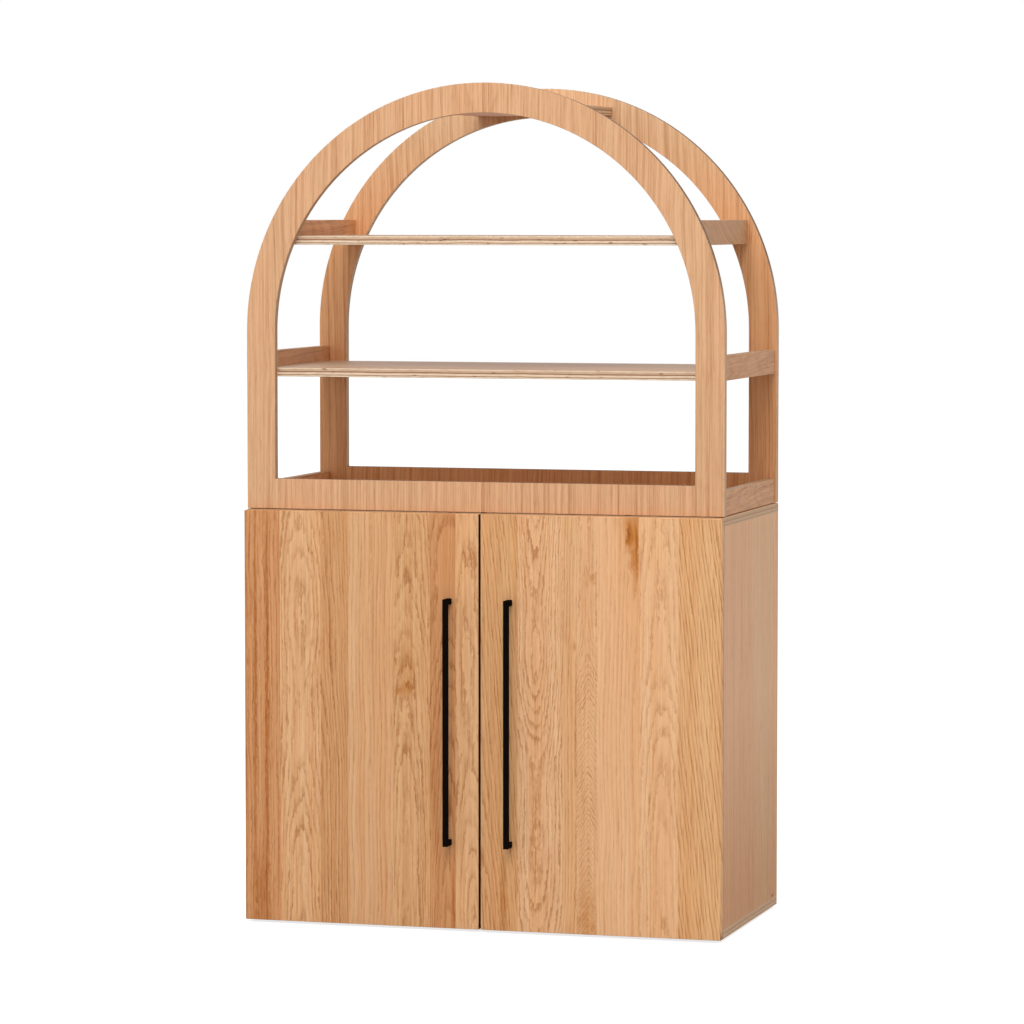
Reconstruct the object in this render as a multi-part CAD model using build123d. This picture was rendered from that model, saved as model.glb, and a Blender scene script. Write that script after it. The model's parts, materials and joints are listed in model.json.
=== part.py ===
from build123d import *
import math
import os

# Arched hutch cabinet: a two-door plywood cupboard that carries an open hutch between two arches.
# Millimetres. +Z is up, the doors face -Y, and the origin is on the floor under the middle.

# Cupboard
width = 1000.0
carcass_depth = 480.0
carcass_height = 841.5
ply = 18.0
back_thickness = 6.0
back_lap = 9.0
back_clearance = 0.5
glide_height = 6.0
glide_radius = 12.0
glide_inset_x = 40.0
glide_inset_y = 45.0
glide_spigot_radius = 3.0
glide_spigot_length = 10.0

# Inner shelf and its pins
shelf_side_clearance = 1.0
shelf_setback = 30.0
pin_radius = 2.5
pin_depth = 10.0
pin_collar_radius = 4.0
pin_collar_length = 8.0
pin_rows = 5
lower_pin_rows = 2
pin_pitch = 32.0
pin_first_height = 336.0
pin_inset_front = 70.0
pin_inset_back = 60.0

# Hutch
hutch_lift = 1.5
hutch_leg = 361.0
arch_band = 60.0
arch_rail_height = 61.0
edge_easing = 0.8
rail_height = 50.0
rail_inset = 4.0
upper_rail_inset = 9.5
lower_shelf_height = 286.5
upper_shelf_height = 554.5
spreader_width = 292.0
spreader_lift = 2.5

# Dowels and screws
dowel_radius = 4.0
dowel_in_edge = 20.0
dowel_skin = 6.0
dowel_pitch = 24.0
dowel_inset = 60.0
fit_clearance = 0.05
hole_slack = 1.0
hutch_screw_pitch = 300.0
hutch_screw_inset = 11.0
hutch_screw_radius = 2.0
hutch_screw_bite = 30.0
spacer_radius = 6.0
screw_head_radius = 4.0
screw_head_height = 2.4

# Doors and handles
door_thickness = 18.0
door_gap = 2.0
door_top_reveal = 1.5
door_meeting_gap = 4.0
handle_projection = 32.0
handle_section = 10.5
handle_foot = 12.0
handle_centres = 488.0
handle_from_meeting = 61.5
handle_easing = 0.6
handle_screw_radius = 2.0
handle_screw_bite = 12.0
handle_screw_clearance = 0.25
bumper_radius = 4.0
bumper_clearance = 0.3
bumper_from_meeting = 30.0

# Cup hinges, set out from the door's outer edge and the side panel's inner face
hinge_from_end = 100.0
cup_radius = 17.5
cup_tab = 5.0
cup_depth = 11.5
cup_wall = 1.0
flange_thickness = 1.0
flange_reach = 29.0
flange_inner = 1.5
flange_outer = 17.5
cup_screw_offset = 9.5
cup_screw_spread = 22.5
cup_screw_radius = 1.5
cup_screw_bite = 9.0
cup_screw_head_radius = 3.0
cup_screw_head_height = 1.2
cup_pivot_from_edge = 12.0
cup_pivot_depth = 4.0
arm_pivot_inset = 20.0
arm_pivot_setback = 5.0
hinge_pin_radius = 1.5
link_eye_radius = 3.0
link_thickness = 3.0
link_width = 10.0
link_bulge = 8.0
link_side_clearance = 0.3
arm_ear = 2.4
arm_nose_radius = 4.5
arm_body = 8.0
arm_length = 44.0
arm_root_setback = 16.0
arm_shoulder_setback = 24.0
plate_thickness = 4.0
plate_front = 22.0
plate_length = 40.0
plate_half_height = 24.0
plate_screw_setback = 37.0
plate_screw_spread = 16.0
plate_screw_radius = 1.75
plate_screw_bite = 12.0
plate_screw_head_radius = 3.4
plate_screw_head_height = 1.8

# Planes that the pieces share
half = width / 2
front = (handle_projection + door_thickness + door_gap - carcass_depth) / 2
back = front + carcass_depth
z_bottom = glide_height
z_floor = z_bottom + ply
z_top = z_bottom + carcass_height
z_ceiling = z_top - ply
z_hutch = z_top + hutch_lift
z_spring = z_hutch + hutch_leg
z_lower = z_hutch + lower_shelf_height
z_upper = z_hutch + upper_shelf_height
z_crown = z_spring + half - arch_band
arch_front = front + ply
arch_back = back - ply
inner_half = half - ply
door_back = front - door_gap
door_front = door_back - door_thickness
door_z0 = z_bottom
door_z1 = z_top - door_top_reveal
door_mid = (door_z0 + door_z1) / 2
hinge_heights = [door_z0 + hinge_from_end, door_z1 - hinge_from_end]
dowel_in_face = ply - dowel_skin

os.makedirs("parts", exist_ok=True)


def save(name, *solids):
    """Write one node, a single solid or a group of equal ones."""
    shape = solids[0] if len(solids) == 1 else Compound(children=list(solids))
    export_step(shape, f"parts/{name}.step")


def block(x0, x1, y0, y1, z0, z1):
    """A box between two corners."""
    middle = Pos((x0 + x1) / 2, (y0 + y1) / 2, (z0 + z1) / 2)
    return middle * Box(abs(x1 - x0), abs(y1 - y0), abs(z1 - z0))


def rod(point, direction, radius, length):
    """A cylinder that starts at a point and runs along a direction."""
    upright = Cylinder(radius, length, align=(Align.CENTER, Align.CENTER, Align.MIN))
    return Plane(origin=point, z_dir=direction) * upright


def screw(point, direction, radius, length, head_radius, head_height):
    """A pan-head screw whose head stands on the surface that the point lies on."""
    outward = tuple(-part for part in direction)
    return rod(point, direction, radius, length) + rod(point, outward, head_radius, head_height)


def mirrored(solid):
    """The same piece for the right-hand side."""
    return mirror(solid, about=Plane.YZ)


class Joinery:
    """Dowels that share one node, and the holes that they need on both sides of a joint."""

    def __init__(self):
        self.dowels = []
        self.holes = []

    def add(self, point, direction, into_face):
        """A dowel across a joint: into_face deep one way, dowel_in_edge deep the other way."""
        start = tuple(p - d * into_face for p, d in zip(point, direction))
        self.dowels.append(rod(start, direction, dowel_radius, into_face + dowel_in_edge))
        hole_start = tuple(s - d * hole_slack for s, d in zip(start, direction))
        hole_length = into_face + dowel_in_edge + 2 * hole_slack
        self.holes.append(rod(hole_start, direction, dowel_radius + fit_clearance, hole_length))

    def drill(self, solid):
        """Cut the holes that meet this piece."""
        box = solid.bounding_box()
        for hole in self.holes:
            spot = hole.bounding_box()
            apart = any(
                getattr(spot.max, axis) < getattr(box.min, axis) or getattr(spot.min, axis) > getattr(box.max, axis)
                for axis in ("X", "Y", "Z")
            )
            if not apart:
                solid = solid - hole
        return solid


# Cupboard shell
carcass = Joinery()
dowel_rows = [front + dowel_inset, (front + back) / 2, back - dowel_inset]
for side in (-1, 1):
    for y in dowel_rows:
        carcass.add((side * (half - ply / 2), y, z_floor), (0, 0, 1), dowel_in_face)
        carcass.add((side * (half - ply / 2), y, z_ceiling), (0, 0, -1), dowel_in_face)

rebate = block(
    -inner_half - back_lap, inner_half + back_lap, back - back_thickness, back,
    z_floor - back_lap, z_ceiling + back_lap,
)
back_panel = block(
    -inner_half - back_lap + back_clearance, inner_half + back_lap - back_clearance,
    back - back_thickness, back,
    z_floor - back_lap + back_clearance, z_ceiling + back_lap - back_clearance,
)
save("back_panel", back_panel)

# Floor glides on spigots
bottom_panel = carcass.drill(block(-half, half, front, back, z_bottom, z_floor) - rebate)
glides = []
for x in (-half + glide_inset_x, half - glide_inset_x):
    for y in (front + glide_inset_y, back - glide_inset_y):
        disc = rod((x, y, 0), (0, 0, 1), glide_radius, glide_height)
        rim = disc.edges().sort_by(Axis.Z)[0]
        disc = chamfer(rim, hole_slack)
        spigot = rod((x, y, z_bottom), (0, 0, 1), glide_spigot_radius, glide_spigot_length)
        glides.append(disc + spigot)
        hole_radius = glide_spigot_radius + fit_clearance
        bottom_panel -= rod((x, y, z_bottom), (0, 0, 1), hole_radius, glide_spigot_length + hole_slack)
save("glides", *glides)
save("bottom_panel", bottom_panel)

# Screws that hold the hutch, up through the top panel and thin spacers into the arches
top_panel = carcass.drill(block(-half, half, front, back, z_ceiling, z_top) - rebate)
hutch_screws = []
hutch_screw_holes = []
hutch_spacers = []
for y in (front + hutch_screw_inset, back - hutch_screw_inset):
    for x in (-hutch_screw_pitch, 0, hutch_screw_pitch):
        head = rod((x, y, z_ceiling), (0, 0, 1), screw_head_radius, screw_head_height)
        shank_length = ply + hutch_lift + hutch_screw_bite
        shank = rod((x, y, z_ceiling), (0, 0, 1), hutch_screw_radius, shank_length)
        hutch_screws.append(head + shank)
        hutch_screw_holes.append(
            rod((x, y, z_ceiling), (0, 0, 1), hutch_screw_radius + fit_clearance, shank_length + hole_slack)
            + rod((x, y, z_ceiling), (0, 0, 1), screw_head_radius + fit_clearance, screw_head_height)
        )
        hutch_spacers.append(rod((x, y, z_top), (0, 0, 1), spacer_radius, hutch_lift) - hutch_screw_holes[-1])
for hole in hutch_screw_holes:
    top_panel -= hole
save("hutch_screws", *hutch_screws)
save("hutch_spacers", *hutch_spacers)
save("top_panel", top_panel)
save("carcass_dowels", *carcass.dowels)

# Side panels with their rows of shelf-pin holes and the hinge plates' screw holes
side_panel = carcass.drill(block(-half, -inner_half, front, back, z_floor, z_ceiling) - rebate)
pin_columns = [front + pin_inset_front, back - back_thickness - pin_inset_back]
pin_heights = [z_floor + pin_first_height + row * pin_pitch for row in range(pin_rows)]
for y in pin_columns:
    for z in pin_heights:
        side_panel -= rod((-inner_half, y, z), (-1, 0, 0), pin_radius + fit_clearance, pin_depth + hole_slack)
plate_screws = []
for z in hinge_heights:
    for dz in (-plate_screw_spread, plate_screw_spread):
        seat = (-inner_half + plate_thickness, front + plate_screw_setback, z + dz)
        bite = plate_thickness + plate_screw_bite
        plate_screws.append(
            screw(seat, (-1, 0, 0), plate_screw_radius, bite, plate_screw_head_radius, plate_screw_head_height)
        )
        side_panel -= rod(seat, (-1, 0, 0), plate_screw_radius + fit_clearance, bite + hole_slack)
save("side_panel_left", side_panel)
save("side_panel_right", mirrored(side_panel))
save("hinge_plate_screws", *plate_screws, *[mirrored(piece) for piece in plate_screws])

# Inner shelf on four pins
shelf_rest = pin_heights[lower_pin_rows] + pin_collar_radius
shelf_half = inner_half - shelf_side_clearance
save("inner_shelf", block(
    -shelf_half, shelf_half, front + shelf_setback, back - back_thickness - shelf_side_clearance,
    shelf_rest, shelf_rest + ply,
))
shelf_pins = []
for y in pin_columns:
    z = pin_heights[lower_pin_rows]
    shank = rod((-inner_half, y, z), (-1, 0, 0), pin_radius, pin_depth)
    collar = rod((-inner_half, y, z), (1, 0, 0), pin_collar_radius, pin_collar_length)
    shelf_pins.append(shank + collar)
save("shelf_pins", *shelf_pins, *[mirrored(pin) for pin in shelf_pins])


# Hutch arches
def arch_outline(half_width, foot):
    """A doorway outline in the XZ plane: two upright legs under a half circle."""
    right_leg = Line((half_width, foot), (half_width, z_spring))
    crown = CenterArc((0, z_spring), half_width, 0, 180)
    left_leg = Line((-half_width, z_spring), (-half_width, foot))
    sill = Line((-half_width, foot), (half_width, foot))
    return make_face([right_leg, crown, left_leg, sill])


def chord(radius, z):
    """Half the width of a circle about the spring line's middle at a height."""
    return math.sqrt(radius ** 2 - (z - z_spring) ** 2)


def arch(back_face):
    """One arch, a sheet of plywood with its long edges eased."""
    sheet = Plane(origin=(0, back_face, 0), x_dir=(1, 0, 0), z_dir=(0, -1, 0))
    outline = arch_outline(half, z_hutch) - arch_outline(half - arch_band, z_hutch + arch_rail_height)
    solid = extrude(sheet * outline, ply)
    long_edges = solid.edges() - solid.edges().filter_by(Axis.Y)
    return chamfer(long_edges, edge_easing)


hutch = Joinery()


def rail(outer_x, z0):
    """A left-hand side rail between the arches, doweled at both ends."""
    x0 = -outer_x
    x1 = x0 + ply
    for dz in (-dowel_pitch / 2, dowel_pitch / 2):
        middle = ((x0 + x1) / 2, z0 + rail_height / 2 + dz)
        hutch.add((middle[0], arch_front, middle[1]), (0, 1, 0), dowel_in_face)
        hutch.add((middle[0], arch_back, middle[1]), (0, -1, 0), dowel_in_face)
        hutch.add((-middle[0], arch_front, middle[1]), (0, 1, 0), dowel_in_face)
        hutch.add((-middle[0], arch_back, middle[1]), (0, -1, 0), dowel_in_face)
    return block(x0, x1, arch_front, arch_back, z0, z0 + rail_height)


def shelf(outer_x, top):
    """A hutch shelf between two rails, doweled to the arches at its corners and to the rails."""
    end = outer_x - ply
    z = top - ply / 2
    opening = half - arch_band if z <= z_spring else chord(half - arch_band, z)
    corner_x = (end + opening) / 2
    for side in (-1, 1):
        hutch.add((side * corner_x, arch_front, z), (0, 1, 0), dowel_in_face)
        hutch.add((side * corner_x, arch_back, z), (0, -1, 0), dowel_in_face)
        for y in dowel_rows:
            hutch.add((side * end, y, z), (-side, 0, 0), dowel_in_face)
    return block(-end, end, arch_front, arch_back, top - ply, top)


lower_outer = half - rail_inset
upper_outer = chord(half, z_upper - ply + rail_height) - upper_rail_inset
base_rail = rail(lower_outer, z_hutch)
lower_rail = rail(lower_outer, z_lower - ply)
upper_rail = rail(upper_outer, z_upper - ply)
lower_shelf = shelf(lower_outer, z_lower)
upper_shelf = shelf(upper_outer, z_upper)

spreader_z0 = z_crown + spreader_lift
for x in (-spreader_width / 2 + dowel_inset, spreader_width / 2 - dowel_inset):
    hutch.add((x, arch_front, spreader_z0 + ply / 2), (0, 1, 0), dowel_in_face)
    hutch.add((x, arch_back, spreader_z0 + ply / 2), (0, -1, 0), dowel_in_face)
spreader = block(
    -spreader_width / 2, spreader_width / 2, arch_front, arch_back, spreader_z0, spreader_z0 + ply,
)
save("top_spreader", hutch.drill(spreader))

for name, face in (("front_arch", arch_front), ("back_arch", back)):
    sheet = hutch.drill(arch(face))
    for hole in hutch_screw_holes:
        sheet -= hole
    save(name, sheet)
for name, piece in (("base_rail", base_rail), ("lower_rail", lower_rail), ("upper_rail", upper_rail)):
    drilled = hutch.drill(piece)
    save(f"{name}_left", drilled)
    save(f"{name}_right", mirrored(drilled))
save("lower_shelf", hutch.drill(lower_shelf))
save("upper_shelf", hutch.drill(upper_shelf))
save("hutch_dowels", *hutch.dowels)


# Doors, handles and hinges are drawn for the left door and mirrored for the right one
def save_pair(name, *solids):
    """Write a left-hand node and its mirror image."""
    save(f"{name}_left", *solids)
    save(f"{name}_right", *[mirrored(piece) for piece in solids])


door_edge = -half
door = block(door_edge, -door_meeting_gap / 2, door_front, door_back, door_z0, door_z1)
door = chamfer(door.edges(), edge_easing)

# Square bar handle: a U in side view, as deep as it stands out from the door
handle_x = -door_meeting_gap / 2 - handle_from_meeting
handle_y = door_front - handle_projection
handle_z0 = door_mid - (handle_centres + handle_foot) / 2
handle_z1 = door_mid + (handle_centres + handle_foot) / 2
handle = block(
    handle_x - handle_section / 2, handle_x + handle_section / 2, handle_y, door_front, handle_z0, handle_z1,
)
handle -= block(
    handle_x - handle_section, handle_x + handle_section, handle_y + handle_section, door_front,
    handle_z0 + handle_foot, handle_z1 - handle_foot,
)
outer_edges = handle.edges().filter_by_position(Axis.Y, handle_y, door_front, inclusive=(True, False))
handle = chamfer(outer_edges, handle_easing)
handle_screws = []
for z in (door_mid - handle_centres / 2, door_mid + handle_centres / 2):
    bite = door_thickness + handle_screw_bite
    seat = (handle_x, door_back, z)
    handle_screws.append(
        screw(seat, (0, -1, 0), handle_screw_radius, bite, screw_head_radius, screw_head_height)
    )
    door -= rod(seat, (0, -1, 0), handle_screw_radius + handle_screw_clearance, door_thickness)
    handle -= rod(seat, (0, -1, 0), handle_screw_radius + fit_clearance, bite + hole_slack)
save_pair("handle", handle)
save_pair("handle_screws", *handle_screws)

# Pads that the closed door rests on
bumper_x = -door_meeting_gap / 2 - bumper_from_meeting
bumper_thickness = door_gap - bumper_clearance
bumpers = []
for z in (z_bottom + ply / 2, z_top - ply / 2):
    bumpers.append(rod((bumper_x, door_back, z), (0, 1, 0), bumper_radius, bumper_thickness))
save_pair("door_bumpers", *bumpers)

# Pivots of the hinge, seen from above
cup_x = door_edge + cup_tab + cup_radius
cup_pivot = Vector(door_edge + cup_pivot_from_edge, door_back - cup_pivot_depth)
arm_pivot = Vector(-inner_half + arm_pivot_inset, front + arm_pivot_setback)


def cup(z):
    """A pressed cup in the door's back, with a flange and the seats of its pivot pin."""
    outside = rod((cup_x, door_back, z), (0, -1, 0), cup_radius, cup_depth)
    flange = block(
        cup_x + flange_inner, cup_x + flange_outer, door_back, door_back + flange_thickness,
        z - flange_reach, z + flange_reach,
    )
    flange = fillet(flange.edges().filter_by(Axis.Y), flange_thickness * 3)
    hollow_depth = cup_depth - cup_wall + flange_thickness
    hollow = rod(
        (cup_x, door_back + flange_thickness, z), (0, -1, 0), cup_radius - cup_wall, hollow_depth,
    )
    shell = outside + flange - hollow
    for dz in (-cup_screw_spread, cup_screw_spread):
        spot = (cup_x + cup_screw_offset, door_back + flange_thickness, z + dz)
        shell -= rod(spot, (0, -1, 0), cup_screw_radius + fit_clearance, flange_thickness)
    return shell - cup_pin(z, fit_clearance)


def cup_pin(z, grow=0.0):
    """The pin across the cup, half sunk into its wall at each end."""
    far_side = cup_x - cup_pivot.X + hinge_pin_radius
    reach = math.sqrt((cup_radius - cup_wall / 2) ** 2 - far_side ** 2)
    start = (cup_pivot.X, cup_pivot.Y, z - reach - grow)
    return rod(start, (0, 0, 1), hinge_pin_radius + grow, 2 * (reach + grow))


def link(z):
    """The curved link from the arm's pivot to the cup's pivot."""
    along = (arm_pivot - cup_pivot).normalized()
    aside = Vector(along.Y, -along.X)
    middle = (arm_pivot + cup_pivot) * 0.5
    span = (arm_pivot - cup_pivot).length
    bend = (span ** 2 / 4 + link_bulge ** 2) / (2 * link_bulge)
    centre = middle + aside * (link_bulge - bend)
    start = math.degrees(math.atan2(cup_pivot.Y - centre.Y, cup_pivot.X - centre.X))
    sweep = 2 * math.degrees(math.asin(span / (2 * bend)))
    inner = CenterArc((centre.X, centre.Y), bend - link_thickness / 2, start, sweep)
    outer = CenterArc((centre.X, centre.Y), bend + link_thickness / 2, start, sweep)
    profile = make_face([inner, Line(inner @ 1, outer @ 1), outer, Line(outer @ 0, inner @ 0)])
    for pivot in (cup_pivot, arm_pivot):
        profile += Pos(pivot.X, pivot.Y) * Circle(link_eye_radius)
    for pivot in (cup_pivot, arm_pivot):
        profile -= Pos(pivot.X, pivot.Y) * Circle(hinge_pin_radius + fit_clearance)
    return extrude(Pos(0, 0, z - link_width / 2) * profile, link_width)


arm_half_height = link_width / 2 + link_side_clearance + arm_ear


def arm(z):
    """The cranked arm on the side panel, forked round the link."""
    seat = -inner_half + plate_thickness
    outline = [
        (seat, front + plate_front + arm_length),
        (seat, front + arm_root_setback),
        (arm_pivot.X - arm_nose_radius, arm_pivot.Y),
        (arm_pivot.X + arm_nose_radius, arm_pivot.Y),
        (seat + arm_body, front + arm_shoulder_setback),
        (seat + arm_body, front + plate_front + arm_length),
    ]
    profile = make_face(Polyline(*outline, close=True)) + Pos(arm_pivot.X, arm_pivot.Y) * Circle(arm_nose_radius)
    solid = extrude(Pos(0, 0, z - arm_half_height) * profile, 2 * arm_half_height)
    fork = link_width / 2 + link_side_clearance
    fork_end = arm_pivot.Y + link_eye_radius + 2 * link_side_clearance
    solid -= block(
        seat, arm_pivot.X + 2 * arm_nose_radius, fork_end, arm_pivot.Y - 2 * arm_nose_radius, z - fork, z + fork,
    )
    return solid - arm_pin(z, fit_clearance)


def arm_pin(z, grow=0.0):
    """The pin through the arm's ears."""
    return rod(
        (arm_pivot.X, arm_pivot.Y, z - arm_half_height), (0, 0, 1), hinge_pin_radius + grow, 2 * arm_half_height,
    )


def plate(z):
    """The mounting plate on the side panel."""
    solid = block(
        -inner_half, -inner_half + plate_thickness, front + plate_front, front + plate_front + plate_length,
        z - plate_half_height, z + plate_half_height,
    )
    solid = fillet(solid.edges().filter_by(Axis.X), plate_thickness)
    for dz in (-plate_screw_spread, plate_screw_spread):
        spot = (-inner_half, front + plate_screw_setback, z + dz)
        solid -= rod(spot, (1, 0, 0), plate_screw_radius + fit_clearance, plate_thickness)
    return solid


cup_screws = []
for z in hinge_heights:
    door -= rod((cup_x, door_back, z), (0, -1, 0), cup_radius, cup_depth)
    for dz in (-cup_screw_spread, cup_screw_spread):
        seat = (cup_x + cup_screw_offset, door_back + flange_thickness, z + dz)
        bite = flange_thickness + cup_screw_bite
        cup_screws.append(
            screw(seat, (0, -1, 0), cup_screw_radius, bite, cup_screw_head_radius, cup_screw_head_height)
        )
        door -= rod(seat, (0, -1, 0), cup_screw_radius + fit_clearance, bite + hole_slack)
save_pair("door", door)
save_pair("hinge_cup_screws", *cup_screws)
save_pair("hinge_cups", *[cup(z) for z in hinge_heights])
save_pair("hinge_cup_pins", *[cup_pin(z) for z in hinge_heights])
save_pair("hinge_links", *[link(z) for z in hinge_heights])
save_pair("hinge_arms", *[arm(z) for z in hinge_heights])
save_pair("hinge_arm_pins", *[arm_pin(z) for z in hinge_heights])
save_pair("hinge_plates", *[plate(z) for z in hinge_heights])
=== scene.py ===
import json
import math
from collections import namedtuple

import bmesh
import bpy
from mathutils import Color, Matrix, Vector

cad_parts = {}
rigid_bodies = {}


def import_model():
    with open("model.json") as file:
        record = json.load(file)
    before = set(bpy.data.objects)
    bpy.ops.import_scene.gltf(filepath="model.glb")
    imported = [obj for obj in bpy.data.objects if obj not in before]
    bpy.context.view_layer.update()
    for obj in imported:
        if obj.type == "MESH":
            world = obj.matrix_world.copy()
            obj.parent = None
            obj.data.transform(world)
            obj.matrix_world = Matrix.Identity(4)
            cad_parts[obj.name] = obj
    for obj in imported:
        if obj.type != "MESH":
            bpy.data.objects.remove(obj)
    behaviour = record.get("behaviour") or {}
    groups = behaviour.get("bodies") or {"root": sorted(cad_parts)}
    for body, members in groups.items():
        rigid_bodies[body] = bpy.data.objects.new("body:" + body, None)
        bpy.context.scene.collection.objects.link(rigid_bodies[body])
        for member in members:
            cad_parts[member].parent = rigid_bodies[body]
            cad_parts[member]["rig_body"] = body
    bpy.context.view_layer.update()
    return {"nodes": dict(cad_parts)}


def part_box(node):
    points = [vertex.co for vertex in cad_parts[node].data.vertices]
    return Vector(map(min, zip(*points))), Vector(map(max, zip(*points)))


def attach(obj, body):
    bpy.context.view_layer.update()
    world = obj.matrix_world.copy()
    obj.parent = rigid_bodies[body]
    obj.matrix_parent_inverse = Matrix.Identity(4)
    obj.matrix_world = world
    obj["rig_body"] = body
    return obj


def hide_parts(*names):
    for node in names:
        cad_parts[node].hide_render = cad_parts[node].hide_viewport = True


# Arched hutch cabinet in oak staves and oak-veneered plywood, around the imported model.
# Metres, +Z up, the doors face -Y.
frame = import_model()
nodes = frame["nodes"]

# A colour channel at its brightest, white, and the millimetres in a metre
FULL_CHANNEL = 255
WHITE = (1.0, 1.0, 1.0, 1.0)
MILLIMETRES = 1000


def srgb(red, green, blue):
    """A colour as it looks on screen, 0 to 255, as the linear values that shaders take."""
    shown = Color((red / FULL_CHANNEL, green / FULL_CHANNEL, blue / FULL_CHANNEL))
    return (*shown.from_srgb_to_scene_linear(), 1.0)


# Wood tones, and what darker, warmer, paler and rosier grain, stains and shaded edges multiply them by
ARCH_TONE = srgb(215, 168, 127)
BACK_ARCH_TONE = srgb(217, 183, 146)
RAIL_TONE = srgb(218, 162, 113)
RIGHT_RAIL_TONE = srgb(199, 149, 105)
SHELF_TONE = srgb(188, 152, 120)
CARCASS_TONE = srgb(216, 174, 131)
BACK_TONE = srgb(214, 178, 140)
DARK_GRAIN = (0.62, 0.48, 0.36, 1.0)
WARM_CAST = (0.97, 0.88, 0.79, 1.0)
PALE_CAST = (1.05, 1.09, 1.13, 1.0)
ROSE_CAST = (1.03, 0.90, 0.86, 1.0)
STAIN = (0.64, 0.40, 0.10, 1.0)
DARK_STAIN = (0.45, 0.40, 0.40, 1.0)
VOID = (0.40, 0.21, 0.08, 1.0)
SHADED = (0.68, 0.61, 0.54, 1.0)
TOP_SHADE = (0.36, 0.27, 0.18, 1.0)
PLAIN_EDGE = (0.78, 0.76, 0.78, 1.0)
MEETING_SHADE = (0.15, 0.06, 0.03, 1.0)

# The upper right rail carries painted shade that makes it darker than the other right rails, and its grain
# leans the other way
UPPER_RAIL_SHADE = 0.88
UPPER_RAIL_LEAN = -0.45

# Door staves from left to right. In millimetres: the width, how far the growth rings' centre lies to the side
# of the stave's middle and behind the face, how much that depth wanders, and how far apart the rings are.
# Tilt is how fast the depth grows with height, climb how fast the rings rise, lean how far the grain leans.
Stave = namedtuple("Stave", "width tone centre depth tilt climb lean wander spacing contrast fray")
LEFT_STAVES = [
    Stave(74, (210, 152, 103), -78, 30, 0.02, 0.00, 0.00, 12, 8.0, 0.80, 1.2),
    Stave(89, (225, 176, 129), 2, 46, 0.04, 0.00, 0.00, 30, 5.0, 0.95, 1.3),
    Stave(57, (211, 159, 110), -46, 26, 0.05, 0.00, 0.01, 24, 6.0, 0.85, 1.0),
    Stave(98, (219, 171, 126), 150, 60, 0.01, 0.00, 0.00, 12, 8.0, 0.58, 0.7),
    Stave(76, (219, 171, 123), -10, 44, 0.06, 0.00, 0.00, 28, 5.0, 1.05, 1.3),
    Stave(55, (206, 147, 97), 12, 40, 0.07, 0.00, 0.00, 24, 5.4, 0.85, 1.0),
    Stave(49, (224, 174, 126), 6, 34, 0.05, 0.00, 0.02, 26, 5.2, 0.75, 1.2),
]
RIGHT_STAVES = [
    Stave(77, (217, 165, 114), -58, 20, 0.05, 0.00, 0.09, 26, 7.0, 0.85, 0.8),
    Stave(93, (230, 182, 137), -9, 40, -0.06, 0.00, 0.00, 46, 4.6, 1.00, 1.4),
    Stave(30, (226, 178, 131), 120, 50, 0.02, 0.00, 0.00, 12, 7.0, 0.75, 0.9),
    Stave(43, (226, 176, 130), 3, 3, 0.00, 0.50, 0.00, 4, 6.3, 0.66, 1.6),
    Stave(84, (231, 182, 137), 140, 50, 0.01, 0.00, 0.00, 12, 8.0, 0.50, 0.8),
    Stave(82, (233, 185, 139), 8, 46, 0.05, 0.00, 0.02, 30, 6.2, 0.64, 1.2),
    Stave(89, (227, 177, 126), -120, 24, 0.00, 0.00, 0.13, 6, 7.2, 0.93, 0.5),
]
STAVE_LENGTHS = ("centre", "depth", "wander", "spacing")
# Each value's least and most, with the lengths in metres and the centre in the frame
STAVE_LIMITS = {
    "centre": (-1.0, 1.0), "depth": (0.0, 0.1), "tilt": (-0.2, 0.2), "climb": (0.0, 1.0), "lean": (0.0, 0.2),
    "wander": (0.0, 0.1), "spacing": (0.0, 0.02), "contrast": (0.0, 2.0), "fray": (0.0, 2.0),
}

# Climbing rings rise up to this height above the door's middle, ease out there and run straight above it
CLIMB_TOP = 0.155
CLIMB_EASE = 0.12

# Painted shade on the doors' edges: how near another surface has to be to darken an edge, and how strongly it
# does so
MEETING_REACH = 0.03
MEETING_DEPTH = 2.5

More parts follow.
